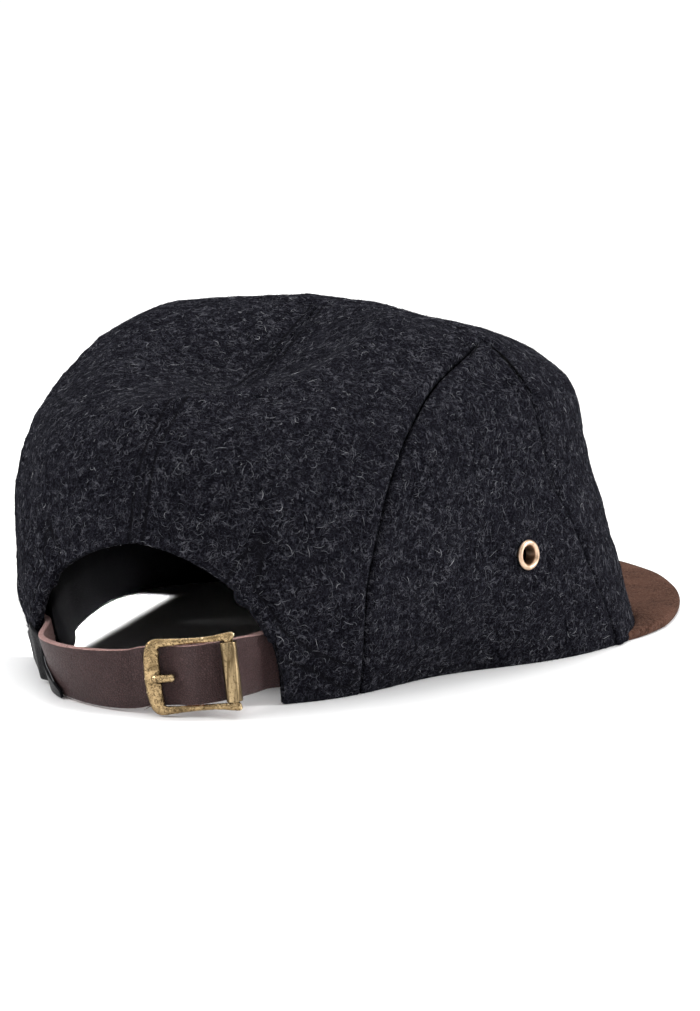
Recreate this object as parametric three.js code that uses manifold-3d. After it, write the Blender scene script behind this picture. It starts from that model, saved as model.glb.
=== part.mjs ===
// A five-panel wool cap with a short suede peak and a buckled leather strap over the rear arch.
// Millimetres, +Z up. The hem stands on z = 0, the peak points to -Y and the wearer's right is -X.
import * as THREE from 'three';
import { mergeVertices } from 'three/addons/utils/BufferGeometryUtils.js';
import Module from 'manifold-3d';

const wasm = await Module();
wasm.setup();

// Cloth, leather and running gaps
const woolThickness = 2.2;
const seamGap = 0.44;
const seatGap = 0.35;
const strapThickness = 1.8;
const strapWidth = 16.8;

// The crown, a row for each level from the hem to the sunken top. The first five columns are plan radii from
// the crown's axis, from the back round to the front; the last three are heights at the back, side and front.
const radiusColumns = ['back', 'rearQuarter', 'side', 'frontQuarter', 'front'];
const riseColumns = ['backUp', 'sideUp', 'frontUp'];
const crownLevels = {
  hem: [93, 73, 69.5, 108.5, 105, 0, 0, 0],
  low: [95.5, 81.5, 78.5, 101.5, 101.5, 22.5, 27.5, 25.5],
  middle: [92, 82, 76, 93.5, 96, 41.5, 52, 51],
  high: [87.5, 78, 74, 88.5, 88.5, 60, 74, 72.5],
  shoulder: [80, 66.5, 63.5, 73, 78, 74, 87, 85],
  crest: [61, 44, 41.5, 48.5, 61, 83.5, 98, 90.5],
  inner: [30, 23.5, 23, 25, 30, 90.5, 99, 98],
};
const crownTop = 94.5;

// Seams run from the hem to the shoulder: up is 0 at the hem and 1 at the top's centre, and turn is degrees
// from the back
const templeSeam = [
  { up: 0, turn: 44.5 },
  { up: 0.16, turn: 43.7 },
  { up: 0.31, turn: 47 },
  { up: 0.43, turn: 52.5 },
  { up: 0.525, turn: 62 },
  { up: 0.58, turn: 73 },
  { up: 0.61, turn: 89 },
  { up: 0.63, turn: 107 },
];
const foreheadSeam = [
  { up: 0, turn: 119 },
  { up: 0.15, turn: 109 },
  { up: 0.3, turn: 102.5 },
  { up: 0.42, turn: 99 },
  { up: 0.51, turn: 100 },
  { up: 0.58, turn: 104 },
  { up: 0.63, turn: 107 },
];
const archUp = 0.318;
const archTurn = 27;

const bandUp = 0.145;
const bandThickness = 1.2;
const bandGap = 0.75;
const bandFirstTurn = 31;

const peakHalfWidth = 90;
const peakCentreY = -50;
const peakTipY = -169;
const peakThickness = 3.4;
const peakFirstTurn = 117;

const eyeletUp = 0.18;
const eyeletTurn = 90;
const eyeletHoleRadius = 2.7;
const eyeletRimRadius = 4.6;
const eyeletBarrelRadius = 3.15;

// The buckle: middle of its outer bar, middle of its roller, and half of its height
const barMiddle = new THREE.Vector3(-13.6, 105.9, 11.1);
const rollerMiddle = new THREE.Vector3(-35, 99.9, 13.75);
const buckleHalfHeight = 10.7;
const armInnerHalf = 8.85;
const frameThickness = 2.6;
const rollerRadius = 2.4;
const pinRadius = 1.1;
const prongRadius = 1.05;

const wool = { color: 0x26262b, roughness: 0.98, metalness: 0 };
const blackCloth = { color: 0x141316, roughness: 0.8, metalness: 0 };
const suede = { color: 0x463023, roughness: 0.95, metalness: 0 };
const leather = { color: 0x49312f, roughness: 0.6, metalness: 0 };
const brass = { color: 0x9a7b45, roughness: 0.42, metalness: 0.9 };

// Height and slope maths for the crown

function evenWave(values, angle) {
  // A smooth even wave through values that are spread evenly from 0 to half a turn
  const last = values.length - 1;
  const ends = (index) => (index === 0 || index === last ? 0.5 : 1);
  let sum = 0;
  for (let k = 0; k <= last; k++) {
    let weight = 0;
    for (let j = 0; j <= last; j++) {
      weight += values[j] * ends(j) * Math.cos((Math.PI * k * j) / last);
    }
    sum += weight * ends(k) * Math.cos(k * angle);
  }
  return (2 * sum) / last;
}

function levelCurve(values, lastSlope) {
  // A cubic through evenly spaced values that never swings past them
  const steps = values.slice(1).map((value, i) => value - values[i]);
  const last = values.length - 1;
  const slopes = values.map((value, i) => {
    if (i === 0) {
      return (3 * steps[0] - steps[1]) / 2;
    }
    if (i === last) {
      return lastSlope;
    }
    if (steps[i - 1] * steps[i] <= 0) {
      return 0;
    }
    return (2 * steps[i - 1] * steps[i]) / (steps[i - 1] + steps[i]);
  });
  return (up) => {
    const x = THREE.MathUtils.clamp(up, 0, 1) * last;
    const i = Math.min(Math.floor(x), last - 1);
    const t = x - i;
    const cubic = 2 * t ** 3 - 3 * t ** 2 + 1;
    return values[i] * cubic + values[i + 1] * (1 - cubic)
      + slopes[i] * (t ** 3 - 2 * t ** 2 + t) + slopes[i + 1] * (t ** 3 - t ** 2);
  };
}

const crownColumn = (index) => Object.values(crownLevels).map((row) => row[index]);
const radiusCurves = radiusColumns.map((_, index) => {
  const radii = crownColumn(index);
  return levelCurve([...radii, 0], -radii.at(-1));
});
const riseCurves = riseColumns.map((_, index) => {
  const heights = crownColumn(radiusColumns.length + index);
  return levelCurve([...heights, crownTop], 0);
});

function wallAt(up, turn) {
  // Outer surface of the wool; turn in radians from the back towards the wearer's right
  const radius = evenWave(radiusCurves.map((curve) => curve(up)), turn);
  const rise = evenWave(riseCurves.map((curve) => curve(up)), turn);
  return new THREE.Vector3(-radius * Math.sin(turn), radius * Math.cos(turn), rise);
}

// The crown seen as a disc: 0 at the top's centre and 1 at the hem, q towards the back and p towards +X
const onDisc = (up, degrees) => {
  const turn = THREE.MathUtils.degToRad(degrees);
  return new THREE.Vector2(-Math.sin(turn), Math.cos(turn)).multiplyScalar(1 - up);
};
const wallAtDisc = (spot) => wallAt(1 - spot.length(), Math.atan2(-spot.x, spot.y));

function wallNormal(spot) {
  const step = 0.004;
  const inner = spot.clone().multiplyScalar(Math.min(1, (1 - step) / Math.max(spot.length(), 1e-6)));
  const alongP = wallAtDisc(new THREE.Vector2(inner.x + step, inner.y));
  const alongQ = wallAtDisc(new THREE.Vector2(inner.x, inner.y + step));
  const normal = alongP.sub(wallAtDisc(new THREE.Vector2(inner.x - step, inner.y)));
  normal.cross(alongQ.sub(wallAtDisc(new THREE.Vector2(inner.x, inner.y - step)))).normalize();
  // At the hem the wall is cut square to the surface that the cap stands on
  const level = THREE.MathUtils.smoothstep(1 - spot.length(), 0, 0.05);
  normal.z *= level;
  return normal.normalize();
}

const insideWall = (spot, depth) => wallAtDisc(spot).addScaledVector(wallNormal(spot), -depth);

// Closed solids

function solidGeometry(points, faces) {
  const geometry = new THREE.BufferGeometry();
  const values = points.flatMap((point) => point.toArray());
  geometry.setAttribute('position', new THREE.Float32BufferAttribute(values, 3));
  geometry.setIndex(faces.flat());
  return geometry;
}

function shellSolid(outer, inner) {
  // Two grids of points, rows by columns, joined round their edges
  const rows = outer.length;
  const columns = outer[0].length;
  const points = [...outer.flat(), ...inner.flat()];
  const index = (layer, i, j) => layer * rows * columns + i * columns + j;
  const faces = [];
  const quad = (a, b, c, d) => {
    const across = points[a].distanceTo(points[c]) <= points[b].distanceTo(points[d]);
    faces.push(...(across ? [[a, b, c], [a, c, d]] : [[b, c, d], [b, d, a]]));
  };
  for (let i = 0; i < rows - 1; i++) {
    for (let j = 0; j < columns - 1; j++) {
      quad(index(0, i, j), index(0, i, j + 1), index(0, i + 1, j + 1), index(0, i + 1, j));
      quad(index(1, i, j), index(1, i + 1, j), index(1, i + 1, j + 1), index(1, i, j + 1));
    }
  }
  const top = rows - 1;
  const side = columns - 1;
  for (let j = 0; j < side; j++) {
    quad(index(0, 0, j), index(1, 0, j), index(1, 0, j + 1), index(0, 0, j + 1));
    quad(index(0, top, j), index(0, top, j + 1), index(1, top, j + 1), index(1, top, j));
  }
  for (let i = 0; i < top; i++) {
    quad(index(0, i, 0), index(0, i + 1, 0), index(1, i + 1, 0), index(1, i, 0));
    quad(index(0, i, side), index(1, i, side), index(1, i + 1, side), index(0, i + 1, side));
  }
  return facingOut(solidGeometry(points, faces));
}

function loftSolid(rings) {
  // Rings of the same number of points, skinned in order and closed by a fan at each end
  const size = rings[0].length;
  const points = rings.flat();
  const faces = [];
  for (let i = 0; i < rings.length - 1; i++) {
    for (let j = 0; j < size; j++) {
      const next = (j + 1) % size;
      faces.push([i * size + j, i * size + next, (i + 1) * size + next]);
      faces.push([i * size + j, (i + 1) * size + next, (i + 1) * size + j]);
    }
  }
  const end = (rings.length - 1) * size;
  for (let j = 1; j < size - 1; j++) {
    faces.push([0, j + 1, j]);
    faces.push([end, end + j, end + j + 1]);
  }
  return facingOut(solidGeometry(points, faces));
}

function facingOut(geometry) {
  const place = geometry.getAttribute('position');
  const faces = geometry.getIndex().array;
  const corner = (k) => new THREE.Vector3().fromBufferAttribute(place, faces[k]);
  let volume = 0;
  for (let k = 0; k < faces.length; k += 3) {
    volume += corner(k).dot(corner(k + 1).cross(corner(k + 2)));
  }
  if (volume < 0) {
    for (let k = 0; k < faces.length; k += 3) {
      [faces[k + 1], faces[k + 2]] = [faces[k + 2], faces[k + 1]];
    }
  }
  return geometry;
}

function mirrored(geometry) {
  return facingOut(geometry.clone().scale(-1, 1, 1));
}

// Joins and cuts

function toManifold(geometry) {
  const bare = geometry.clone();
  bare.deleteAttribute('normal');
  bare.deleteAttribute('uv');
  const merged = mergeVertices(bare, 1e-4);
  return new wasm.Manifold(new wasm.Mesh({
    numProp: 3,
    vertProperties: new Float32Array(merged.getAttribute('position').array),
    triVerts: new Uint32Array(merged.getIndex().array),
  }));
}

function fromManifold(solid) {
  const mesh = solid.getMesh();
  const geometry = new THREE.BufferGeometry();
  geometry.setAttribute('position', new THREE.Float32BufferAttribute(mesh.vertProperties, 3));
  geometry.setIndex(new THREE.Uint32BufferAttribute(mesh.triVerts, 1));
  return geometry;
}

const cut = (body, tool) => fromManifold(toManifold(body).subtract(toManifold(tool)));
const join = (parts) => fromManifold(parts.map(toManifold).reduce((sum, next) => sum.add(next)));

const cap = new THREE.Group();

function add(name, geometry, finish, parent = cap) {
  geometry.computeVertexNormals();
  const mesh = new THREE.Mesh(geometry, new THREE.MeshStandardMaterial(finish));
  mesh.name = name;
  parent.add(mesh);
  return mesh;
}

// Wool panels: each is bounded by four lines on the disc and filled between them

const spread = (count, make) => Array.from({ length: count + 1 }, (_, i) => make(i / count));

// All the seams are sampled alike, so that panels meet corner to corner
const seamRows = 16;

function seamLine(rows) {
  const line = new THREE.SplineCurve(rows.map((row) => onDisc(row.up, row.turn)));
  return spread(seamRows, (t) => line.getPointAt(t));
}

function flipped(line) {
  return line.map((spot) => new THREE.Vector2(-spot.x, spot.y));
}

function panelSpots(bottom, top, first, last) {
  // Coons patch: rows follow first and last, columns follow bottom and top
  const rows = first.length - 1;
  const columns = bottom.length - 1;
  const mix = (a, b, t) => a.clone().lerp(b, t);
  return first.map((_, i) => bottom.map((__, j) => {
    const b = i / rows;
    const a = j / columns;
    const across = mix(first[i], last[i], a);
    const along = mix(bottom[j], top[j], b);
    const corners = mix(mix(bottom[0], bottom[columns], a), mix(top[0], top[columns], a), b);
    return across.add(along).sub(corners);
  }));
}

function drawnIn(line, first, last) {
  // The same line with its ends drawn in by lengths in millimetres
  const places = line.map(wallAtDisc);
  const length = places.slice(1).reduce((sum, place, i) => sum + place.distanceTo(places[i]), 0);
  const count = line.length - 1;
  return spread(count, (t) => {
    const at = THREE.MathUtils.clamp(t * (1 - (first + last) / length) + first / length, 0, 1) * count;
    const i = Math.min(Math.floor(at), count - 1);
    return line[i].clone().lerp(line[i + 1], at - i);
  });
}

function seamInset(edge, next) {
  // How far each row's end is drawn in along the row, so that the cut edge lies half a gap from the seam line
  const places = edge.map(wallAtDisc);
  return places.map((place, i) => {
    const after = places[Math.min(i + 1, places.length - 1)];
    const along = after.clone().sub(places[Math.max(i - 1, 0)]).normalize();
    const row = wallAtDisc(next[i]).sub(place).normalize();
    return seamGap / 2 / Math.max(0.4, along.cross(row).length());
  });
}

function panelSolid(spots) {
  // The seam sides give way by half a seam gap; the hem or arch edge stays where it is
  const side = (index) => spots.map((row) => row.at(index));
  const firstInsets = seamInset(side(0), side(1));
  const lastInsets = seamInset(side(-1), side(-2));
  const rows = spots.map((row, i) => drawnIn(row, firstInsets[i], lastInsets[i]));
  const columns = rows[0].map((_, j) => drawnIn(rows.map((row) => row[j]), 0, seamGap / 2));
  const layer = (depth) => rows.map((_, i) => columns.map((column) => insideWall(column[i], depth)));
  return shellSolid(layer(0), layer(woolThickness));
}

const junction = onDisc(templeSeam.at(-1).up, templeSeam.at(-1).turn);
const topSeam = (t) => new THREE.Vector2(junction.x * (1 - t), junction.y - 0.012 * Math.sin(Math.PI * t));

const archSteps = 11;
const rearHemSteps = 3;
const archEdge = (t) => {
  const swing = (Math.PI / 2) * t;
  return onDisc(archUp * Math.cos(swing) ** 0.9, archTurn * Math.sin(swing) ** 1.25);
};
const hemLine = (count, from, to) => spread(count, (t) => onDisc(0, THREE.MathUtils.lerp(from, to, t)));
const rearBottom = [
  ...spread(archSteps, archEdge),
  ...hemLine(rearHemSteps, archTurn, templeSeam[0].turn).slice(1),
];
const rearTop = spread(archSteps + rearHemSteps, (t) => topSeam(1 - t));
const centreSeam = spread(seamRows, (t) => rearBottom[0].clone().lerp(rearTop[0], t));
const templeLine = seamLine(templeSeam);
const rearPanel = panelSolid(panelSpots(rearBottom, rearTop, centreSeam, templeLine));

// The side panel stops a little short of the point where its two seams meet
const sideColumns = 9;
const shortened = (line) => [...line.slice(0, -1), line.at(-2).clone().lerp(line.at(-1), 0.72)];
const foreheadLine = seamLine(foreheadSeam);
const sideBottom = hemLine(sideColumns, templeSeam[0].turn, foreheadSeam[0].turn);
const sideBack = shortened(templeLine);
const sideFront = shortened(foreheadLine);
const sideTop = spread(sideColumns, (t) => sideBack.at(-1).clone().lerp(sideFront.at(-1), t));
const sidePanelWhole = panelSolid(panelSpots(sideBottom, sideTop, sideBack, sideFront));

const frontColumns = 28;
const frontBottom = hemLine(frontColumns, foreheadSeam[0].turn, 360 - foreheadSeam[0].turn);
const halfTop = spread(frontColumns / 2, topSeam);
const frontTop = [...halfTop, ...flipped(halfTop).reverse().slice(1)];
const frontPanel = panelSolid(panelSpots(frontBottom, frontTop, foreheadLine, flipped(foreheadLine)));

// Eyelets: a rolled brass rim each side of the wool, round a barrel with an open bore

const eyeletSpot = onDisc(eyeletUp, eyeletTurn);
const eyeletFrame = new THREE.Matrix4().compose(
  wallAtDisc(eyeletSpot),
  new THREE.Quaternion().setFromUnitVectors(new THREE.Vector3(0, 1, 0), wallNormal(eyeletSpot)),
  new THREE.Vector3(1, 1, 1),
);

function eyeletGeometry() {
  const rimHeight = 1.1;
  const washerRadius = eyeletRimRadius - 0.5;
  const washerThickness = 0.5;
  const rimMiddle = (eyeletRimRadius + eyeletHoleRadius) / 2;
  const rimHalf = (eyeletRimRadius - eyeletHoleRadius) / 2;
  const outside = 0.55;
  const inside = -woolThickness - outside;
  const roll = spread(6, (t) => new THREE.Vector2(
    rimMiddle + rimHalf * Math.cos(Math.PI * t),
    outside + rimHeight * Math.sin(Math.PI * t),
  ));
  const profile = [
    new THREE.Vector2(eyeletBarrelRadius, inside),
    new THREE.Vector2(eyeletBarrelRadius, outside),
    ...roll,
    new THREE.Vector2(eyeletHoleRadius, inside - washerThickness),
    new THREE.Vector2(washerRadius, inside - washerThickness),
    new THREE.Vector2(washerRadius, inside),
    new THREE.Vector2(eyeletBarrelRadius, inside),
  ];
  return facingOut(new THREE.LatheGeometry(profile, 20)).applyMatrix4(eyeletFrame);
}

const eyeletBoreRadius = eyeletBarrelRadius + 0.3;
const eyeletBore = new THREE.CylinderGeometry(eyeletBoreRadius, eyeletBoreRadius, 12, 20);
const sidePanel = cut(sidePanelWhole, eyeletBore.applyMatrix4(eyeletFrame));
const eyelet = fromManifold(toManifold(eyeletGeometry()));

add('front_panel', frontPanel, wool);
add('side_panel_right', sidePanel, wool);
add('side_panel_left', mirrored(sidePanel), wool);
add('rear_panel_right', rearPanel, wool);
add('rear_panel_left', mirrored(rearPanel), wool);
add('eyelet_right', eyelet, brass);
add('eyelet_left', mirrored(eyelet), brass);

// Sweatband: a black cloth ring inside the hem, open at the rear arch, where it stands clear of the strap ends

function sweatbandGeometry() {
  const rows = 3;
  const columns = 44;
  const hemClearance = 0.4;
  const clearance = (turn) => {
    const fromEnd = Math.min(turn - bandFirstTurn, 360 - bandFirstTurn - turn);
    const straps = turn < 180 ? 2 : 1;
    const room = straps * (strapThickness + seatGap) + 1.1;
    return woolThickness + bandGap + room * (1 - THREE.MathUtils.smoothstep(fromEnd, 7, 20));
  };
  const layer = (depth) => spread(rows, (up) => spread(columns, (t) => {
    const turn = THREE.MathUtils.lerp(bandFirstTurn, 360 - bandFirstTurn, t);
    const point = insideWall(onDisc(bandUp * up, turn), clearance(turn) + depth);
    point.z = Math.max(point.z, hemClearance);
    return point;
  }));
  return shellSolid(layer(0), layer(bandThickness));
}
add('sweatband', sweatbandGeometry(), blackCloth);

// Peak: a flat stiffened board in suede, sewn along the front hem, with a rounded edge

function peakGeometry() {
  const steps = 44;
  const lastTurn = 360 - peakFirstTurn;
  const edgeRound = 1.3;
  const across = [
    { reach: 0, inset: 0, height: 0 },
    { reach: 0.5, inset: 0, height: 0 },
    { reach: 1, inset: 1.2 * edgeRound, height: 0 },
    { reach: 1, inset: 0.3 * edgeRound, height: 0.22 },
    { reach: 1, inset: 0, height: 0.5 },
    { reach: 1, inset: 0.3 * edgeRound, height: 0.78 },
    { reach: 1, inset: 1.2 * edgeRound, height: 1 },
    { reach: 0.5, inset: 0, height: 1 },
    { reach: 0, inset: 0, height: 1 },
  ];
  const rings = spread(steps, (t) => {
    const turn = THREE.MathUtils.lerp(peakFirstTurn, lastTurn, t);
    const root = insideWall(onDisc(0, turn), -seatGap - 0.1);
    const swing = Math.PI * t;
    const outline = new THREE.Vector3(
      -peakHalfWidth * Math.cos(swing),
      peakCentreY + (peakTipY - peakCentreY) * Math.sin(swing),
      0,
    );
    // Both ends of the peak curve in to the seam
    const taper = Math.min(1, Math.min(t, 1 - t) / 0.05);
    const full = outline.sub(root).multiplyScalar(0.35 + 0.65 * Math.sqrt(1 - (1 - taper) ** 2));
    const length = full.length();
    return across.map((corner) => {
      const point = root.clone().addScaledVector(full, corner.reach - corner.inset / length);
      if (corner.reach < 1) {
        point.copy(root).addScaledVector(full, corner.reach);
      }
      point.z = peakThickness * corner.height;
      return point;
    });
  });
  return loftSolid(rings);
}
add('brim', peakGeometry(), suede);

// Buckle frame axes: x from the outer bar to the roller, y up the bar and z out of the cap

const buckleAcross = rollerMiddle.clone().sub(barMiddle);
const bucklePitch = buckleAcross.length();
buckleAcross.normalize();
const buckleOut = new THREE.Vector3(0, 0, 1).cross(buckleAcross).negate().normalize();
const buckleUp = buckleOut.clone().cross(buckleAcross).normalize();
const buckleMiddle = barMiddle.clone().lerp(rollerMiddle, 0.5);
const buckleFrame = new THREE.Matrix4().makeBasis(buckleAcross, buckleUp, buckleOut);
buckleFrame.setPosition(buckleMiddle);
const barX = -bucklePitch / 2;
const rollerX = bucklePitch / 2;
const onBuckle = (x, y, z) => new THREE.Vector3(x, y, z).applyMatrix4(buckleFrame);

function buckleFrameGeometry() {
  const barHalf = 2.05;
  const knobEnd = rollerX + 2.1;
  const waist = 0.55;
  const outer = buckleHalfHeight;
  const outline = new THREE.Shape();
  outline.moveTo(knobEnd - 0.6, armInnerHalf);
  outline.lineTo(barX + barHalf + 1.2, armInnerHalf);
  outline.quadraticCurveTo(barX + barHalf, armInnerHalf, barX + barHalf, armInnerHalf - 1.2);
  outline.lineTo(barX + barHalf, -armInnerHalf + 1.2);
  outline.quadraticCurveTo(barX + barHalf, -armInnerHalf, barX + barHalf + 1.2, -armInnerHalf);
  outline.lineTo(knobEnd - 0.6, -armInnerHalf);
  outline.quadraticCurveTo(knobEnd, -armInnerHalf, knobEnd, -outer + 0.8);
  outline.quadraticCurveTo(knobEnd, -outer - 0.2, knobEnd - 1, -outer - 0.2);
  outline.quadraticCurveTo(0, -outer + 2 * waist, barX, -outer);
  outline.quadraticCurveTo(barX - 1.7, -outer + 0.2, barX - 1.9, -outer + 3);
  outline.quadraticCurveTo(barX - 2.6, 0, barX - 1.9, outer - 3);
  outline.quadraticCurveTo(barX - 1.7, outer - 0.2, barX, outer);
  outline.quadraticCurveTo(0, outer - 2 * waist, knobEnd - 1, outer + 0.2);
  outline.quadraticCurveTo(knobEnd, outer + 0.2, knobEnd, outer - 0.8);
  outline.quadraticCurveTo(knobEnd, armInnerHalf, knobEnd - 0.6, armInnerHalf);
  const bevel = 0.4;
  const plate = new THREE.ExtrudeGeometry(outline, {
    depth: frameThickness - 2 * bevel,
    bevelEnabled: true,
    bevelThickness: bevel,
    bevelSize: 0.35,
    bevelOffset: -0.35,
    bevelSegments: 2,
    curveSegments: 6,
  });
  plate.translate(0, 0, -frameThickness / 2 + bevel);
  const pin = new THREE.CylinderGeometry(pinRadius, pinRadius, 2 * armInnerHalf + 1.6, 12);
  pin.translate(rollerX, 0, 0);
  const prong = new THREE.CapsuleGeometry(prongRadius, 5, 4, 10);
  prong.rotateZ(Math.PI / 2);
  prong.translate(barX + 3.1, -0.3, 1.05);
  return join([plate, pin, prong]);
}

const buckle = new THREE.Group();
buckle.applyMatrix4(buckleFrame);
cap.add(buckle);
add('buckle_frame', buckleFrameGeometry(), brass, buckle);

const rollerHalf = armInnerHalf - seatGap;
const rollerBore = pinRadius + 0.3;
const rollerProfile = [
  new THREE.Vector2(rollerBore, -rollerHalf),
  new THREE.Vector2(rollerRadius, -rollerHalf),
  new THREE.Vector2(rollerRadius, rollerHalf),
  new THREE.Vector2(rollerBore, rollerHalf),
  new THREE.Vector2(rollerBore, -rollerHalf),
];
const roller = fromManifold(toManifold(facingOut(new THREE.LatheGeometry(rollerProfile, 16))));
roller.translate(rollerX, 0, 0);
add('buckle_roller', roller, brass, buckle);

// Straps: a run of stations, each with a middle point and the direction of the strap's width

const hemAllowance = 0.8;
const underWool = woolThickness + seatGap + hemAllowance + strapThickness / 2;
const underStrap = underWool + strapThickness + seatGap + 0.4;

function strapInWall(turn, middleUp, depth) {
  // A station behind the wool beside the arch
  const low = insideWall(onDisc(middleUp - 0.05, turn), depth);
  const high = insideWall(onDisc(middleUp + 0.05, turn), depth);
  return { middle: insideWall(onDisc(middleUp, turn), depth), width: high.sub(low).normalize() };
}

// Free stretch from the left corner to the buckle: plan place, height of the strap's middle and outward lean
const freeStretch = [
  { x: 29, y: 90, middle: 9, lean: 22 },
  { x: 19.5, y: 98.6, middle: 9, lean: 20 },
  { x: 10, y: 102.6, middle: 9, lean: 14 },
  { x: 0.5, y: 104, middle: 9.2, lean: 6 },
  { x: -6, y: 103.2, middle: 9.7, lean: 0 },
];
const underBar = -(frameThickness / 2 + seatGap + strapThickness / 2);
const underRoller = -(rollerRadius + seatGap + 0.3 + strapThickness / 2);
// Through the buckle, in the buckle's own axes: under the bar and prong, proud in the opening, under the roller
const throughBuckle = [
  { x: barX - 3, out: underBar - 1.25 },
  { x: barX, out: underBar - 0.6 },
  { x: barX + 3.2, out: -2.1 },
  { x: barX + 6.2, out: -1.15 },
  { x: barX + 9.5, out: 0.5 },
  { x: barX + 13, out: 0.75 },
  { x: barX + 16.5, out: -0.7 },
  { x: rollerX - 2.2, out: underRoller + 0.35 },
  { x: rollerX, out: underRoller },
];
const rightStretch = [
  { x: -33.4, y: 90, middle: 13.3, lean: 2 },
  { x: -33.6, y: 84, middle: 12.9, lean: 8 },
];

function leaning(row) {
  const outward = new THREE.Vector2(row.x, row.y).normalize();
  const lean = THREE.MathUtils.degToRad(row.lean);
  const width = new THREE.Vector3(outward.x * Math.sin(lean), outward.y * Math.sin(lean), Math.cos(lean));
  return { middle: new THREE.Vector3(row.x, row.y, row.middle), width };
}

const inBuckle = (row) => ({ middle: onBuckle(row.x, 0, row.out), width: buckleUp.clone() });

function strapCurves(stations) {
  const curve = (name) => new THREE.CatmullRomCurve3(stations.map((row) => row[name]), false, 'centripetal');
  return { count: stations.length, middles: curve('middle'), widths: curve('width') };
}

function strapAt(strap, t) {
  const middle = strap.middles.getPoint(t);
  const along = strap.middles.getTangent(t);
  const out = along.clone().cross(strap.widths.getPoint(t)).normalize();
  if (out.dot(middle) < 0) {
    out.negate();
  }
  return { middle, width: out.clone().cross(along).normalize(), out };
}

function strapSolid(strap, steps, halfWidth) {
  const corners = [[-1, -1], [-1, 1], [1, 1], [1, -1]];
  return loftSolid(spread(steps, (t) => {
    const { middle, width, out } = strapAt(strap, t);
    return corners.map(([side, face]) => middle.clone()
      .addScaledVector(width, side * halfWidth)
      .addScaledVector(out, (face * strapThickness) / 2));
  }));
}

const longStrap = strapCurves([
  ...[35, 30, 25.5].map((degrees) => strapInWall(-degrees, 0.056, underWool)),
  ...freeStretch.map(leaning),
  ...throughBuckle.map(inBuckle),
  ...rightStretch.map(leaning),
  ...[25, 29, 34].map((degrees) => strapInWall(degrees, 0.072, underWool)),
]);
add('strap_long', strapSolid(longStrap, 96, strapWidth / 2), leather);

// The short strap lies behind the long one, from the buckle's opening to the wearer's right corner
const shortStrap = strapCurves([
  inBuckle({ x: barX + 8, out: -5.2 }),
  inBuckle({ x: rollerX - 4, out: -6.4 }),
  leaning({ x: -30.5, y: 90, middle: 13.3, lean: 2 }),
  leaning({ x: -30.7, y: 84, middle: 12.9, lean: 8 }),
  ...[24.5, 29, 34].map((degrees) => strapInWall(degrees, 0.072, underStrap)),
]);
add('strap_short', strapSolid(shortStrap, 36, strapWidth / 2 - 0.6), leather);

// Tab: a folded black ribbon over the left end of the strap, wrapped round the foot of the arch

function tabGeometry() {
  // Lengths run along the strap from the arch's edge; heights are measured across it from its middle
  const thickness = 0.8;
  const start = -5;
  const end = 24;
  const highAtArch = 8.6;
  const highAtEnd = -6.4;
  const low = -8.4;
  const samples = 400;
  const stretch = longStrap.middles.getLengths(samples);
  const length = stretch.at(-1);
  const archAt = stretch[Math.round((samples * 2) / (longStrap.count - 1))];
  const overWool = woolThickness + 2 * seatGap + 1.05 + strapThickness / 2;
  const overStrap = strapThickness / 2 + seatGap + 0.1;
  const edges = (run) => (run < 0
    ? [low - run, highAtArch + 0.7 * run]
    : [low, THREE.MathUtils.lerp(highAtArch, highAtEnd, run / end)]);
  const layer = (lift) => spread(5, (across) => spread(18, (t) => {
    const run = THREE.MathUtils.lerp(start, end, t);
    const place = longStrap.middles.getUtoTmapping((archAt + run) / length);
    const { middle, width, out } = strapAt(longStrap, place);
    const off = THREE.MathUtils.lerp(overWool, overStrap, THREE.MathUtils.smoothstep(run, 1, 7));
    const [bottom, top] = edges(run);
    middle.addScaledVector(width, THREE.MathUtils.lerp(bottom, top, across));
    return middle.addScaledVector(out, off + lift);
  }));
  return shellSolid(layer(thickness), layer(0));
}
add('strap_tab', tabGeometry(), blackCloth);

// The origin goes to the middle of the cap's underside
cap.updateMatrixWorld(true);
const whole = new THREE.Box3().setFromObject(cap);
const middle = whole.getCenter(new THREE.Vector3());
cap.position.set(-middle.x, -middle.y, -whole.min.z);

export default cap;
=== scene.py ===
import math

import bmesh
import bpy
import numpy as np
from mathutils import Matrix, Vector, noise
from mathutils.bvhtree import BVHTree


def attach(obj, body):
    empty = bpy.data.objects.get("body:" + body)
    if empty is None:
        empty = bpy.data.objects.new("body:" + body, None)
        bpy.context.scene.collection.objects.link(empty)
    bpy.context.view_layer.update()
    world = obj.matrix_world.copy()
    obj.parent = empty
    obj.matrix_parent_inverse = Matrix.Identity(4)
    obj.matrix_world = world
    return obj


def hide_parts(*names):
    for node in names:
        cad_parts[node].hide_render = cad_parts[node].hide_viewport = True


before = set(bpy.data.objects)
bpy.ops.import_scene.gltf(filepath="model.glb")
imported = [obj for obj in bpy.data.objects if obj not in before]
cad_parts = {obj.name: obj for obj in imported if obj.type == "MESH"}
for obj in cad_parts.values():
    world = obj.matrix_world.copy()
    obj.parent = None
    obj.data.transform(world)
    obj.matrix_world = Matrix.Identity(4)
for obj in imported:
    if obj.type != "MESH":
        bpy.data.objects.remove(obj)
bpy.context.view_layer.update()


# Camera. It looks down a little on the rear arch and the wearer's right side, from a long way off,
# so that the lines of the cap hardly converge.
camera = bpy.data.objects.new("camera", bpy.data.cameras.new("camera"))
bpy.context.scene.collection.objects.link(camera)
bpy.context.scene.camera = camera
camera.location = (-0.8719, 1.69244, 0.3705)
looks_at = Vector((-0.01799, 0.02424, 0.04289))
camera.rotation_euler = (looks_at - camera.location).to_track_quat("-Z", "Y").to_euler()
camera.data.sensor_width = 36.0
camera.data.lens = 230.88
camera.data.clip_end = 20.0
bpy.context.scene.view_settings.view_transform = "Standard"


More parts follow.
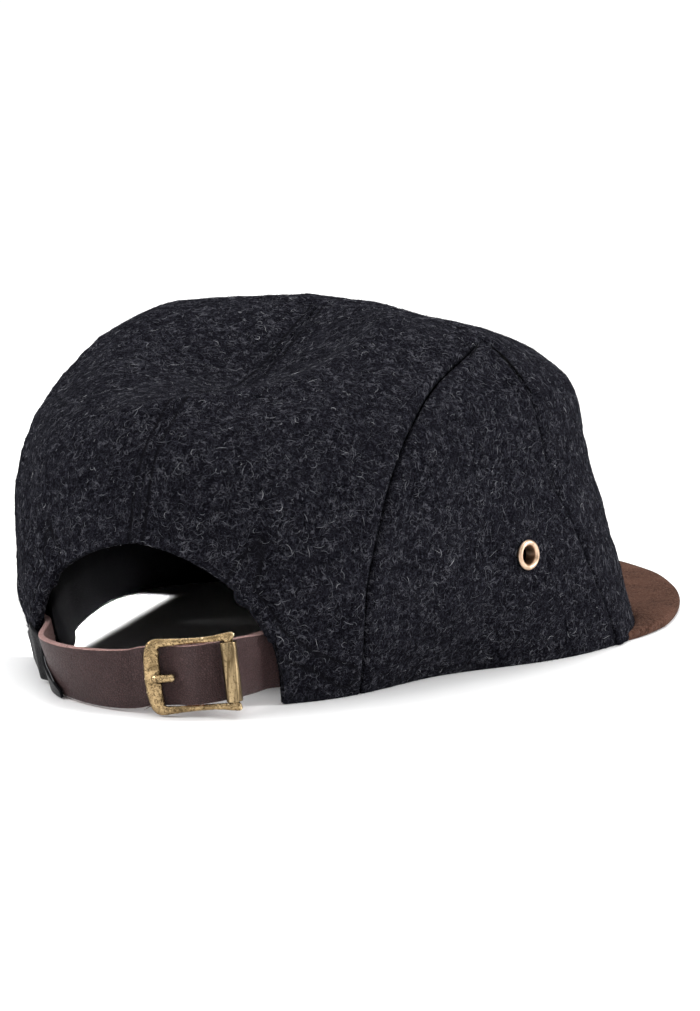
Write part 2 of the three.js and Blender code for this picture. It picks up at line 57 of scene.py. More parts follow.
# Table and light. A seamless white table under a bright ceiling, with a soft box over the cap and one
# on either side of it. Inside the cap a strip of the table is lit where light comes in under the left
# hem, and this strip has a small lamp of its own.
def add_node(tree, kind, values=None, **settings):
    made = tree.nodes.new(kind)
    for name, value in settings.items():
        setattr(made, name, value)
    for name, value in (values or {}).items():
        made.inputs[name].default_value = value
    return made


def new_material(name, **sockets):
    material = bpy.data.materials.new(name)
    material.use_nodes = True
    surface = material.node_tree.nodes["Principled BSDF"]
    for socket, value in sockets.items():
        surface.inputs[socket.replace("_", " ")].default_value = value
    return material, material.node_tree, surface


def soft_box(name, place, aim, size, power):
    light = bpy.data.objects.new(name, bpy.data.lights.new(name, "AREA"))
    bpy.context.scene.collection.objects.link(light)
    light.location = place
    light.rotation_euler = (Vector(aim) - Vector(place)).to_track_quat("-Z", "Y").to_euler()
    light.data.shape = "RECTANGLE"
    light.data.size, light.data.size_y = size
    light.data.energy = power
    return light


world = bpy.data.worlds.new("white_room")
bpy.context.scene.world = world
world.use_nodes = True
sky_place = add_node(world.node_tree, "ShaderNodeTexCoord")
sky_height = add_node(world.node_tree, "ShaderNodeSeparateXYZ")
sky = add_node(world.node_tree, "ShaderNodeValToRGB")
low_sky, high_sky = sky.color_ramp.elements
low_sky.position, low_sky.color = 0.02, (0.3, 0.3, 0.31, 1)
high_sky.position, high_sky.color = 0.75, (1, 1, 1, 1)
world.node_tree.links.new(sky_place.outputs["Generated"], sky_height.inputs[0])
world.node_tree.links.new(sky_height.outputs["Z"], sky.inputs["Fac"])
world.node_tree.links.new(sky.outputs["Color"], world.node_tree.nodes["Background"].inputs["Color"])
world.node_tree.nodes["Background"].inputs["Strength"].default_value = 1.15
soft_box("top_box", (0.1, -0.3, 1.15), (0, 0, 0.05), (0.8, 0.6), 7.0)
soft_box("left_box", (1.2, 0.75, 0.8), (0, 0.03, 0.05), (0.3, 0.7), 13.0)
soft_box("right_box", (-1.4, -0.55, 0.6), (0, 0.03, 0.05), (0.3, 0.6), 18.0)
lit_strip = Vector((0.0695, 0.026, 0))
lamp_height = Vector((0, 0, 0.013))
leak = soft_box("leak_under_left_hem", lit_strip + lamp_height, lit_strip, (0.018, 0.1), 0.02)
leak.rotation_euler = (0, 0, math.radians(11))
leak.data.spread = math.radians(36)

table_shape = bmesh.new()
bmesh.ops.create_grid(table_shape, x_segments=1, y_segments=1, size=9.0)
table_mesh = bpy.data.meshes.new("table")
table_shape.to_mesh(table_mesh)
table_shape.free()
table = bpy.data.objects.new("table", table_mesh)
bpy.context.scene.collection.objects.link(table)
table_paint, _, _ = new_material("white_table", Base_Color=(0.96, 0.96, 0.96, 1), Roughness=0.9)
table_mesh.materials.append(table_paint)


# Crown panels. Five pieces of felted charcoal wool, cut with turned seams and a turned hem; the inside
# is faced with smooth black cloth. Each grows from its solid, with rolled edges and a soft, uneven face.
def new_group(name, inputs, outputs):
    tree = bpy.data.node_groups.new(name, "ShaderNodeTree")
    for socket, value in inputs.items():
        made = tree.interface.new_socket(socket, in_out="INPUT", socket_type="NodeSocketFloat")
        made.default_value = value
    for socket, kind in outputs.items():
        tree.interface.new_socket(socket, in_out="OUTPUT", socket_type=kind)
    return tree, tree.nodes.new("NodeGroupInput"), tree.nodes.new("NodeGroupOutput")


def make_mottle():
    """Soft cloudy spots: noise over the piece, cut to the range between Low and High."""
    tree, given, out = new_group("mottle", {"Scale": 500, "Low": 0.4, "High": 0.6, "Shift": 0},
                                 {"Mask": "NodeSocketFloat"})
    place = add_node(tree, "ShaderNodeTexCoord")
    moved = add_node(tree, "ShaderNodeVectorMath", operation="ADD")
    cloud = add_node(tree, "ShaderNodeTexNoise", {"Detail": 4, "Roughness": 0.62})
    cut = add_node(tree, "ShaderNodeMapRange")
    tree.links.new(place.outputs["Object"], moved.inputs[0])
    tree.links.new(given.outputs["Shift"], moved.inputs[1])
    tree.links.new(moved.outputs[0], cloud.inputs["Vector"])
    tree.links.new(given.outputs["Scale"], cloud.inputs["Scale"])
    tree.links.new(cloud.outputs["Fac"], cut.inputs["Value"])
    tree.links.new(given.outputs["Low"], cut.inputs["From Min"])
    tree.links.new(given.outputs["High"], cut.inputs["From Max"])
    tree.links.new(cut.outputs["Result"], out.inputs["Mask"])
    return tree


def make_hair_lines():
    """Thin curly lines, broken into short lengths, as of fibres that lie in a cloth's face."""
    tree, given, out = new_group("hair_lines", {"Scale": 300, "Width": 0.03, "Shift": 0},
                                 {"Mask": "NodeSocketFloat"})
    place = add_node(tree, "ShaderNodeTexCoord")
    moved = add_node(tree, "ShaderNodeVectorMath", operation="ADD")
    wander = add_node(tree, "ShaderNodeTexNoise", {"Detail": 2.5, "Roughness": 0.5, "Distortion": 1.6})
    off = add_node(tree, "ShaderNodeMath", {1: 0.5}, operation="SUBTRACT")
    side = add_node(tree, "ShaderNodeMath", operation="ABSOLUTE")
    line = add_node(tree, "ShaderNodeMapRange", {"From Min": 0, "To Min": 1, "To Max": 0})
    broken = add_node(tree, "ShaderNodeTexNoise", {"Detail": 1})
    part = add_node(tree, "ShaderNodeMapRange", {"From Min": 0.48, "From Max": 0.56})
    both = add_node(tree, "ShaderNodeMath", operation="MULTIPLY")
    tree.links.new(place.outputs["Object"], moved.inputs[0])
    tree.links.new(given.outputs["Shift"], moved.inputs[1])
    for texture in (wander, broken):
        tree.links.new(moved.outputs[0], texture.inputs["Vector"])
        tree.links.new(given.outputs["Scale"], texture.inputs["Scale"])
    tree.links.new(wander.outputs["Fac"], off.inputs[0])
    tree.links.new(off.outputs[0], side.inputs[0])
    tree.links.new(side.outputs[0], line.inputs["Value"])
    tree.links.new(given.outputs["Width"], line.inputs["From Max"])
    tree.links.new(broken.outputs["Fac"], part.inputs["Value"])
    tree.links.new(line.outputs["Result"], both.inputs[0])
    tree.links.new(part.outputs["Result"], both.inputs[1])
    tree.links.new(both.outputs[0], out.inputs["Mask"])
    return tree


def put_group(tree, group, **values):
    made = add_node(tree, "ShaderNodeGroup", node_tree=group)
    for name, value in values.items():
        made.inputs[name].default_value = value
    return made.outputs[0]


def blend_colour(tree, mask, first, second):
    """A colour between two others, each of them a plain colour or another node's output."""
    made = add_node(tree, "ShaderNodeMix", data_type="RGBA")
    tree.links.new(mask, made.inputs["Factor"])
    for socket, colour in ((made.inputs[6], first), (made.inputs[7], second)):
        if isinstance(colour, tuple):
            socket.default_value = (*colour, 1)
        else:
            tree.links.new(colour, socket)
    return made.outputs[2]


def bump_chain(tree, surface, *layers):
    """Heights laid one over another; each is a mask, its depth in metres and its strength."""
    last = None
    for mask, depth, strength in layers:
        made = add_node(tree, "ShaderNodeBump", {"Distance": depth, "Strength": strength})
        tree.links.new(mask, made.inputs["Height"])
        if last is not None:
            tree.links.new(last, made.inputs["Normal"])
        last = made.outputs["Normal"]
    tree.links.new(last, surface.inputs["Normal"])


# A seam's attribute is 1 on the seam and falls to 0 at this distance from it
seam_reach = 0.012


def near_line(tree, name, away, half):
    """A line of a given half-width at a distance from a seam, read from the seam's attribute."""
    read = add_node(tree, "ShaderNodeAttribute", attribute_name=name)
    off = add_node(tree, "ShaderNodeMath", {1: 1 - away / seam_reach}, operation="SUBTRACT")
    side = add_node(tree, "ShaderNodeMath", operation="ABSOLUTE")
    line = add_node(tree, "ShaderNodeMapRange", {"From Max": half / seam_reach, "To Min": 1, "To Max": 0},
                    interpolation_type="SMOOTHSTEP")
    tree.links.new(read.outputs["Fac"], off.inputs[0])
    tree.links.new(off.outputs[0], side.inputs[0])
    tree.links.new(side.outputs[0], line.inputs["Value"])
    return line.outputs["Result"]


mottle = make_mottle()
hair_lines = make_hair_lines()
wool_cloth, tree, surface = new_material("felted_wool", Roughness=1.0, Specular_IOR_Level=0.01)
patches = put_group(tree, mottle, Scale=70, Low=0.35, High=0.68)
specks = put_group(tree, mottle, Scale=1500, Low=0.46, High=0.66, Shift=0.3)
long_hairs = put_group(tree, hair_lines, Scale=330, Width=0.035)
short_hairs = put_group(tree, hair_lines, Scale=640, Width=0.05, Shift=0.7)
ground = blend_colour(tree, patches, (0.0016, 0.0016, 0.0026), (0.0042, 0.0042, 0.006))
ground = blend_colour(tree, specks, ground, (0.017, 0.017, 0.023))
ground = blend_colour(tree, short_hairs, ground, (0.04, 0.04, 0.051))
ground = blend_colour(tree, long_hairs, ground, (0.08, 0.08, 0.094))
back_stitching = near_line(tree, "rear_seam", 0.0023, 0.0009)
hem_stitching = near_line(tree, "arch_hem", 0.0042, 0.0009)
ground = blend_colour(tree, back_stitching, ground, (0.005, 0.005, 0.0065))
ground = blend_colour(tree, hem_stitching, ground, (0.005, 0.005, 0.0065))
tree.links.new(ground, surface.inputs["Base Color"])
bump_chain(tree, surface, (specks, 0.0003, 0.7), (short_hairs, 0.0002, 0.6), (long_hairs, 0.0002, 0.6),
           (back_stitching, -0.0006, 0.7), (hem_stitching, -0.0006, 0.8))

black_facing, tree, surface = new_material("black_facing", Roughness=0.9, Specular_IOR_Level=0.02)
threads = put_group(tree, mottle, Scale=1800, Low=0.4, High=0.6)
wear = put_group(tree, mottle, Scale=60, Low=0.35, High=0.7)
colour = blend_colour(tree, threads, (0.0012, 0.0012, 0.0016), (0.0028, 0.0028, 0.0034))
colour = blend_colour(tree, wear, colour, (0.0034, 0.0034, 0.004))
tape_edges = [near_line(tree, seam, 0.006, 0.0005) for seam in ("rear_seam", "side_seam")]
tape_stitches = [near_line(tree, seam, 0.0046, 0.00035) for seam in ("rear_seam", "side_seam")]
# Each seam tape's raised edge is painted lighter than the black cloth, a painted highlight along the edge;
# the stitches beside it are dark thread.
for tape_edge, stitches in zip(tape_edges, tape_stitches):
    colour = blend_colour(tree, tape_edge, colour, (0.016, 0.016, 0.018))
    colour = blend_colour(tree, stitches, colour, (0.001, 0.001, 0.001))
tree.links.new(colour, surface.inputs["Base Color"])
bump_chain(tree, surface, (threads, 0.0001, 0.6), *[(tape_edge, 0.0006, 0.8) for tape_edge in tape_edges])

cap_middle = Vector((0.0, 0.03, 0.03))
sharp_turn = 0.9  # radians; edges that turn further stay crisp


def copied_form(node):
    """The solid's own surface with its loose triangles closed up and paired into squares."""
    form = bmesh.new()
    form.from_mesh(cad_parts[node].data)
    bmesh.ops.remove_doubles(form, verts=form.verts, dist=2e-6)
    bmesh.ops.join_triangles(form, faces=form.faces, angle_face_threshold=0.8, angle_shape_threshold=3.1)
    return form


def crease_corners(form, value=1.0):
    layer = form.edges.layers.float.get("crease_edge") or form.edges.layers.float.new("crease_edge")
    for edge in form.edges:
        if len(edge.link_faces) == 2 and edge.calc_face_angle() > sharp_turn:
            edge[layer] = value


def new_piece(name, form, *materials):
    mesh = bpy.data.meshes.new(name)
    form.to_mesh(mesh)
    form.free()
    piece = bpy.data.objects.new(name, mesh)
    bpy.context.scene.collection.objects.link(piece)
    for material in materials:
        mesh.materials.append(material)
    return piece


def settled(piece):
    """The piece with its modifiers made part of its mesh."""
    evaluated = piece.evaluated_get(bpy.context.evaluated_depsgraph_get())
    mesh = bpy.data.meshes.new_from_object(evaluated)
    piece.modifiers.clear()
    piece.data = mesh
    mesh.shade_smooth()
    return piece


def rounded(piece, levels, edge_width=0.0, edge_steps=3):
    smooth = piece.modifiers.new("smooth", "SUBSURF")
    smooth.levels = smooth.render_levels = levels
    if edge_width:
        edge = piece.modifiers.new("edge", "BEVEL")
        edge.width = edge_width
        edge.segments = edge_steps
        edge.limit_method = "ANGLE"
        edge.angle_limit = math.radians(50)
        edge.use_clamp_overlap = False
    return settled(piece)


def with_normals(piece):
    """Each vertex beside a copy of its normal, which is taken before any vertex moves."""
    vertices = piece.data.vertices
    return list(zip(vertices, [vertex.normal.copy() for vertex in vertices]))


def moved_along_normals(piece, offset):
    """Every point moves along its own normal by offset(place, normal), in metres."""
    for vertex, normal in with_normals(piece):
        vertex.co += normal * offset(vertex.co, normal)


def share_of(value):
    """A value kept between 0 and 1."""
    return min(1.0, max(0.0, value))


def bell(distance, width):
    """1 at no distance, falling smoothly to almost nothing at twice the width."""
    return math.exp(-(distance / width) ** 2)


def mound(place, middle, radius):
    """A bell round a point of the plan."""
    return bell(math.hypot(place.x - middle[0], place.y - middle[1]), radius)


def felt_unevenness(place, normal):
    soft = noise.noise(place * 55) * 0.0009
    lumps = noise.noise(place * 170 + Vector((3, 1, 2))) * 0.0004
    nap = noise.noise(place * 520 + Vector((7, 5, 1))) * 0.00018
    outward = max(0.0, normal.dot((place - cap_middle).normalized()))
    above_hem = share_of(place.z / 0.006)
    return (soft + lumps) * outward * above_hem + nap * outward


# The ridge that runs over the sunken top; its points are in millimetres
top_ridge = [Vector(point) / 1000 for point in
             ((14, 103, 78), (-6, 93, 82), (-14, 84, 85), (-24, 73, 87), (-30, 57, 92), (-33, 40, 97),
              (-32, 26, 99), (-20, 14, 99), (-2, 7, 98))]
ridge_height, ridge_width = 0.0026, 0.0055
hollow_depth, hollow_middle, hollow_radius = 0.0098, (0.004, 0.053), 0.027
crest_height, crest_middle, crest_across, crest_along = 0.0026, (0.01, -0.002), 0.03, 0.028
top_begins = 0.06


def from_line(place, line):
    """How far a place is from the nearest point of a line."""
    distances = []
    for start, end in zip(line, line[1:]):
        along = end - start
        part = share_of((place - start).dot(along) / along.length_squared)
        distances.append((place - start - along * part).length)
    return min(distances)


def settled_top(place):
    """How far the top is raised: it has sunk behind the ridge and stands higher at its front."""
    if place.z < top_begins:
        return 0.0
    hollow = -hollow_depth * mound(place, hollow_middle, hollow_radius)
    crest = crest_height * bell(place.x - crest_middle[0], crest_across)
    crest *= bell(place.y - crest_middle[1], crest_along)
    ridge = ridge_height * bell(from_line(place, top_ridge), ridge_width)
    ridge *= share_of((place.y - 0.006) / 0.02)
    return (hollow + crest + ridge) * share_of((place.z - top_begins) / 0.015)


panel_names = ("front_panel", "side_panel_right", "side_panel_left", "rear_panel_right", "rear_panel_left")
panel_surfaces = {name: BVHTree.FromBMesh(copied_form(name)) for name in panel_names}

# The line round the arch, drawn evenly through the middles of the faces that look towards its axis
arch_axis_height, arch_end_turn = 0.006, 0.12
arch_faces = []
for name in ("rear_panel_left", "rear_panel_right"):
    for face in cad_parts[name].data.polygons:
        to_axis = Vector((-face.center.x, 0, arch_axis_height - face.center.z)).normalized()
        if face.center.y > 0.085 and abs(face.center.x) < 0.05 and face.normal.dot(to_axis) > 0.8:
            arch_faces.append(face.center[:])
arch_faces = np.array(arch_faces)
face_turns = np.arctan2(arch_faces[:, 2] - arch_axis_height, arch_faces[:, 0])
arch_edge = []
for turn in np.linspace(arch_end_turn, math.pi - arch_end_turn, 24):
    share = np.exp(-((face_turns - turn) / 0.09) ** 2)
    arch_edge.append(Vector((arch_faces * share[:, None]).sum(0) / share.sum()))


def neighbours(name):
    """The panels across the centre seam, and those across the other seams."""
    twin = {"rear_panel_right": ["rear_panel_left"], "rear_panel_left": ["rear_panel_right"]}.get(name, [])
    return twin, [other for other in panel_names if other != name and other not in twin]


def nearest_seam(place, names):
    """How far the nearest of these panels is, up to the seam's reach, and its nearest point."""
    found = [panel_surfaces[name].find_nearest(place, seam_reach) for name in names]
    return min([(hit[3], hit[0]) for hit in found if hit[0] is not None] or [(seam_reach, place)],
               key=lambda pair: pair[0])


eased_middle, eased_radius, eased_height = (0.062, 0.04), 0.024, 0.036
eased_by = Vector((0.94, 0.34, 0)) * 0.0065


def eased_out(place):
    """The lower left wall stands a few millimetres further out, ahead of the arch's left end."""
    reach = mound(place, eased_middle, eased_radius)
    return eased_by * reach * max(0.0, 1 - place.z / eased_height)


hem_height, peak_thickness = 0.012, 0.0036


def lowered_beside_peak(place):
    """The front hem comes down over the rear end of the peak on both sides."""
    if place.z > hem_height or place.y > 0.0:
        return 0.0
    beside = share_of((place.y + 0.05) / 0.02)
    return -beside * min(place.z, peak_thickness) * (1 - place.z / hem_height)


sewn_pull, temple_pull, pull_reach = 0.46, 0.12, 0.0006
puff_away, puff_width = 0.0036, 0.0021
groove_depth, groove_width = 0.0004, 0.0016
back_seam_height, back_seam_width = 0.0006, 0.0009
wool_panels = {}
for name in panel_names:
    form = copied_form(name)
    crease_corners(form)
    panel = new_piece(name + "_wool", form, wool_cloth, black_facing)
    rounded(panel, 2, 0.0009)
    twin, others = neighbours(name)
    places = [vertex.co.copy() for vertex in panel.data.vertices]
    side_hits = [nearest_seam(place, others) for place in places]
    back_hits = [nearest_seam(place, twin) for place in places]
    for hits in (side_hits, back_hits):
        # The sewn edges meet; only the temple seams stay open enough to show as a line
        for vertex, place, (away, other) in zip(panel.data.vertices, places, hits):
            temple = hits is side_hits and place.y >= 0 and place.z <= 0.09
            pull = temple_pull if temple else sewn_pull
            vertex.co += (other - vertex.co) * pull * bell(away, pull_reach)
    from_side = [away for away, _ in side_hits]
    from_back = [away for away, _ in back_hits]
    from_arch = [min(seam_reach, from_line(place, arch_edge)) if twin and place.z < 0.07 else seam_reach
                 for place in places]
    for attribute, distances in (("side_seam", from_side), ("rear_seam", from_back),
                                 ("arch_hem", from_arch)):
        values = [1 - away / seam_reach for away in distances]
        panel.data.attributes.new(attribute, "FLOAT", "POINT").data.foreach_set("value", values)
    for face in panel.data.polygons:
        inward = face.normal.dot((face.center - cap_middle).normalized())
        face.material_index = 1 if inward < -0.45 else 0
    moved_along_normals(panel, felt_unevenness)
    on_side = name.startswith("side")
    puff_height = 0.0009 if on_side else 0.0006
    for (vertex, normal), place, side, back in zip(with_normals(panel), places, from_side, from_back):
        # The cloth puffs up beside the temple seams, sinks into them, and stands up at the back seam
        out = (place - cap_middle).normalized()
        if normal.dot(out) > -0.2 and place.z > 0.003:
            if on_side or place.y > 0.0:
                vertex.co += out * puff_height * bell(side - puff_away, puff_width)
                vertex.co -= out * groove_depth * bell(side, groove_width)
            vertex.co += out * back_seam_height * bell(back, back_seam_width)
        vertex.co.z += settled_top(place)
        vertex.co += eased_out(place)
        if name == "front_panel":
            lowered = lowered_beside_peak(place)
            vertex.co += Vector((-0.6 * lowered * (1 if place.x > 0 else -1), 0, lowered))
    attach(panel, "root")
    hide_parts(name)
    wool_panels[name] = panel


# Arch hem. The wool of the two rear panels is turned in round the arch and sewn down, which leaves a
# soft thick roll along the opening.
def swept(name, line, radius, sides, *materials):
    """A tube along a line; radius(part) gives its half-width at a part of its length."""
    form = bmesh.new()
    rings = []
    for i, point in enumerate(line):
        along = (line[min(i + 1, len(line) - 1)] - line[max(i - 1, 0)]).normalized()
        turn = along.to_track_quat("Z", "Y")
        half = radius(i / (len(line) - 1))
        angles = [2 * math.pi * k / sides for k in range(sides)]
        circle = [Vector((math.cos(angle), math.sin(angle), 0)) * half for angle in angles]
        rings.append([form.verts.new(point + turn @ offset) for offset in circle])
    for ring, following in zip(rings, rings[1:]):
        for k in range(sides):
            form.faces.new((ring[k], ring[(k + 1) % sides], following[(k + 1) % sides], following[k]))
    form.faces.new(reversed(rings[0]))
    form.faces.new(rings[-1])
    bmesh.ops.recalc_face_normals(form, faces=form.faces)
    return new_piece(name, form, *materials)


def curve_through(points, steps):
    """A smooth line through the points, with the given number of steps between each two."""
    line = []
    for i in range(len(points) - 1):
        before, start = points[max(i - 1, 0)], points[i]
        end, after = points[i + 1], points[min(i + 2, len(points) - 1)]
        for k in range(steps):
            t = k / steps
            line.append(0.5 * ((2 * start) + (end - before) * t
                               + (2 * before - 5 * start + 4 * end - after) * t * t
                               + (3 * start - before - 3 * end + after) * t ** 3))
    return line + [points[-1]]


roll_radius, roll_raised, roll_sunk = 0.002, 0.0009, 0.0003
roll_line = []
for point in arch_edge:
    from_axis = Vector((point.x, 0, point.z - arch_axis_height)).normalized()
    outward = Vector((point.x, point.y, 0)).normalized()
    roll_line.append(point + from_axis * roll_raised - outward * roll_sunk)
arch_roll = swept("arch_hem_roll", curve_through(roll_line, 5),
                  lambda part: roll_radius * min(1.0, 0.4 + 8 * min(part, 1 - part)), 12, wool_cloth)
rounded(arch_roll, 1)
moved_along_normals(arch_roll, lambda place, normal: noise.noise(place * 300) * 0.00025)
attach(arch_roll, "root")


# Wool fibres. Pale and dark hairs of the felt's mixture that lie in its face, and a looser fuzz that
# stands off it and shows along the seams, the hem and the outline.
fibre_hair, tree, surface = new_material("wool_hair", Roughness=0.8, Specular_IOR_Level=0.02)
tone = add_node(tree, "ShaderNodeAttribute", attribute_name="tone")
hair_colour = add_node(tree, "ShaderNodeValToRGB")
shades = hair_colour.color_ramp.elements
shades[0].color = (0.004, 0.004, 0.006, 1)
shades[1].color = (0.42, 0.425, 0.45, 1)
shades.new(0.62).color = (0.034, 0.0345, 0.044, 1)
shades.new(0.88).color = (0.17, 0.173, 0.192, 1)
tree.links.new(tone.outputs["Fac"], hair_colour.inputs["Fac"])
tree.links.new(hair_colour.outputs["Color"], surface.inputs["Base Color"])


def grow_fibres(name, source, count, seed, length, lift, tones, half_width, steps=4, material_index=0,
                curl=0.55, bare=None):
    """Narrow ribbons laid over a piece's faces. length, lift, tones and half_width are ranges, and
    bare(place) says where none grow."""
    clearance, wobble = 0.00005, 0.25
    rng = np.random.default_rng(seed)
    mesh = source.data
    mesh.calc_loop_triangles()
    triangles = np.array([t.vertices[:] for t in mesh.loop_triangles if t.material_index == material_index])
    points = np.array([v.co[:] for v in mesh.vertices])
    corners = points[triangles]
    across = np.cross(corners[:, 1] - corners[:, 0], corners[:, 2] - corners[:, 0])
    area = np.linalg.norm(across, axis=1)
    picked = rng.choice(len(triangles), count, p=area / area.sum())
    a, b = rng.random((2, count, 1))
    fold = (a + b) > 1
    a, b = np.where(fold, 1 - a, a), np.where(fold, 1 - b, b)
    start = corners[picked, 0] * (1 - a - b) + corners[picked, 1] * a + corners[picked, 2] * b
    up = across[picked] / area[picked, None]
    if bare:
        grown = np.array([not bare(Vector(point)) for point in start])
        start, up, count = start[grown], up[grown], int(grown.sum())
    side = np.cross(up, rng.normal(size=(count, 3)))
    side /= np.linalg.norm(side, axis=1)[:, None]
    heading = np.cross(up, side)
    size = rng.uniform(*length, (count, 1)) / steps
    turn = rng.normal(0, curl, (count, 1))
    angle = np.zeros((count, 1))
    rise = rng.uniform(*lift, count) * rng.random(count) ** 2
    surface_tree = BVHTree.FromPolygons([tuple(p) for p in points], [tuple(t) for t in triangles])
    place = start
    rows = []
    for step in range(steps + 1):
        rows.append(place)
        direction = heading * np.cos(angle) + side * np.sin(angle)
        place = place + direction * size
        angle = angle + turn + rng.normal(0, wobble, (count, 1))
    rows = np.stack(rows, 1)
    normals = np.empty_like(rows)
    for i in range(count):
        for step in range(steps + 1):
            hit, normal, _, _ = surface_tree.find_nearest(Vector(rows[i, step]))
            height = clearance + rise[i] * math.sin(math.pi * 0.5 * step / steps)
            rows[i, step] = hit + normal * height
            normals[i, step] = normal
    along = np.gradient(rows, axis=1)
    flat = np.cross(along, normals)
    flat /= np.maximum(np.linalg.norm(flat, axis=2), 1e-12)[:, :, None]
    lean = rng.uniform(-1.2, 1.2, (count, 1, 1))
    wide = flat * np.cos(lean) + normals * np.sin(lean)
    taper = np.sin(np.linspace(0.35, math.pi - 0.2, steps + 1))[None, :, None]
    reach = wide * taper * rng.uniform(*half_width, (count, 1, 1))
    vertices = np.stack([rows - reach, rows + reach], 2).reshape(-1, 3)
    base = (np.arange(count)[:, None] * (steps + 1) + np.arange(steps)[None, :]) * 2
    faces = np.stack([base, base + 1, base + 3, base + 2], -1).reshape(-1, 4)
    made = bpy.data.meshes.new(name)
    made.from_pydata(vertices.tolist(), [], faces.tolist())
    shade = np.repeat(rng.uniform(*tones, count) * rng.random(count) ** 0.5, (steps + 1) * 2)
    made.attributes.new("tone", "FLOAT", "POINT").data.foreach_set("value", shade.astype(np.float32))
    made.shade_smooth()
    piece = bpy.data.objects.new(name, made)
    bpy.context.scene.collection.objects.link(piece)
    return piece


def without_fibres(name):
    """A test for places in a panel's temple seams, and for the topstitching beside its back seam."""
    twin, others = neighbours(name)

    def bare(place):
        place = place - Vector((0, 0, settled_top(place)))
        temple = place.y > 0 and nearest_seam(place, others)[0] < 0.0009
        return temple or 0.0018 < nearest_seam(place, twin)[0] < 0.0029
    return bare


# How many fibres lie in the front panel's face and stand off it, and each piece's area as a share of
# that panel's
lying_count, loose_count = 15500, 6000
area_share = {"front_panel": 1.0, "side_panel_right": 0.42, "side_panel_left": 0.42,
              "rear_panel_right": 0.52, "rear_panel_left": 0.52, "arch_hem_roll": 0.07}
for order, (name, share) in enumerate(area_share.items()):
    source = wool_panels.get(name, arch_roll)
    bare = without_fibres(name) if name in wool_panels else None
    lying = grow_fibres(name + "_hairs", source, int(lying_count * share), 40 + order,
                        length=(0.0008, 0.0038), lift=(0.0, 0.00035), tones=(0.3, 1.0),
                        half_width=(0.000032, 0.000075), curl=0.65, bare=bare)
    loose = grow_fibres(name + "_fuzz", source, int(loose_count * share), 60 + order,
                        length=(0.001, 0.0032), lift=(0.0003, 0.0014), tones=(0.3, 0.95),
                        half_width=(0.00002, 0.000045), bare=bare)
    for piece in (lying, loose):
        piece.data.materials.append(fibre_hair)
        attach(piece, "root")


# Sweatband. A band of smooth black cloth sewn round the inside of the hem, which ends on either side
# of the rear arch.
form = copied_form("sweatband")
crease_corners(form)
band = new_piece("sweatband_cloth", form, black_facing)
rounded(band, 2, 0.0003, 2)
for vertex in band.data.vertices:
    vertex.co += eased_out(vertex.co)
moved_along_normals(band, lambda place, normal: noise.noise(place * 90) * 0.0003)
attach(band, "root")
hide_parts("sweatband")


# Peak. A stiff board covered on both faces with napped brown suede, wrapped round its edge and sewn
# in along the front hem. The nap is brushed unevenly and the suede has a few fine creases.
brown_suede, tree, surface = new_material("brown_suede", Roughness=0.98, Specular_IOR_Level=0.04,
                                          Sheen_Weight=0.04, Sheen_Roughness=0.5,
                                          Sheen_Tint=(0.75, 0.5, 0.4, 1))
brushed = put_group(tree, mottle, Scale=60, Low=0.4, High=0.6)
nap = put_group(tree, mottle, Scale=900, Low=0.42, High=0.64, Shift=0.2)
dust = put_group(tree, mottle, Scale=2600, Low=0.52, High=0.7, Shift=0.5)
strokes = put_group(tree, hair_lines, Scale=95, Width=0.05, Shift=0.35)
colour = blend_colour(tree, brushed, (0.032, 0.014, 0.009), (0.07, 0.0325, 0.022))
colour = blend_colour(tree, strokes, colour, (0.024, 0.011, 0.008))
colour = blend_colour(tree, nap, colour, (0.088, 0.043, 0.03))
colour = blend_colour(tree, dust, colour, (0.165, 0.094, 0.071))
tree.links.new(colour, surface.inputs["Base Color"])
bump_chain(tree, surface, (brushed, 0.0006, 0.3), (strokes, -0.0005, 0.5), (nap, 0.0003, 0.7),
           (dust, 0.00012, 0.5))

form = copied_form("brim")
peak = new_piece("brim_suede", form, brown_suede)
rounded(peak, 2)
moved_along_normals(peak, lambda place, normal: noise.noise(place * 40) * 0.0005 * max(0.0, normal.z))
pushed_in, push_reach = 0.0026, 0.004
ends_narrowed, ends_lowered = 0.036, 0.25
for vertex in peak.data.vertices:
    # The inner edge goes in under the hem, and the rear ends tuck in behind it
    away = panel_surfaces["front_panel"].find_nearest(vertex.co)[3]
    if away < push_reach:
        inward = Vector((-vertex.co.x, -0.03 - vertex.co.y, 0)).normalized()
        ahead = share_of((-0.056 - vertex.co.y) / 0.016)
        vertex.co += inward * pushed_in * ahead * min(1.0, 2 - 2 * away / push_reach)
    tucked = share_of((vertex.co.y + 0.048) / 0.03)
    vertex.co.x *= 1 - ends_narrowed * tucked
    vertex.co.z *= 1 - ends_lowered * tucked
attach(peak, "root")
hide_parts("brim")


# Straps. Two lengths of dark red-brown grain leather, cut from the hide with raw pink edges. The long
# one runs from the left of the arch through the buckle; the short one lies behind it on the right.
grain_leather, tree, surface = new_material("grain_leather", Roughness=0.36, Specular_IOR_Level=0.2)
pits = add_node(tree, "ShaderNodeTexVoronoi", {"Scale": 1500}, feature="DISTANCE_TO_EDGE")
place = add_node(tree, "ShaderNodeTexCoord")
tree.links.new(place.outputs["Object"], pits.inputs["Vector"])
cell = add_node(tree, "ShaderNodeMapRange", {"From Min": 0.0, "From Max": 0.22})
tree.links.new(pits.outputs["Distance"], cell.inputs["Value"])
cloud = put_group(tree, mottle, Scale=120, Low=0.35, High=0.7)
pores = put_group(tree, mottle, Scale=1500, Low=0.5, High=0.72, Shift=0.4)
colour = blend_colour(tree, cloud, (0.058, 0.031, 0.031), (0.082, 0.046, 0.046))
colour = blend_colour(tree, cell.outputs["Result"], (0.03, 0.016, 0.016), colour)
colour = blend_colour(tree, pores, colour, (0.04, 0.022, 0.022))
tree.links.new(colour, surface.inputs["Base Color"])
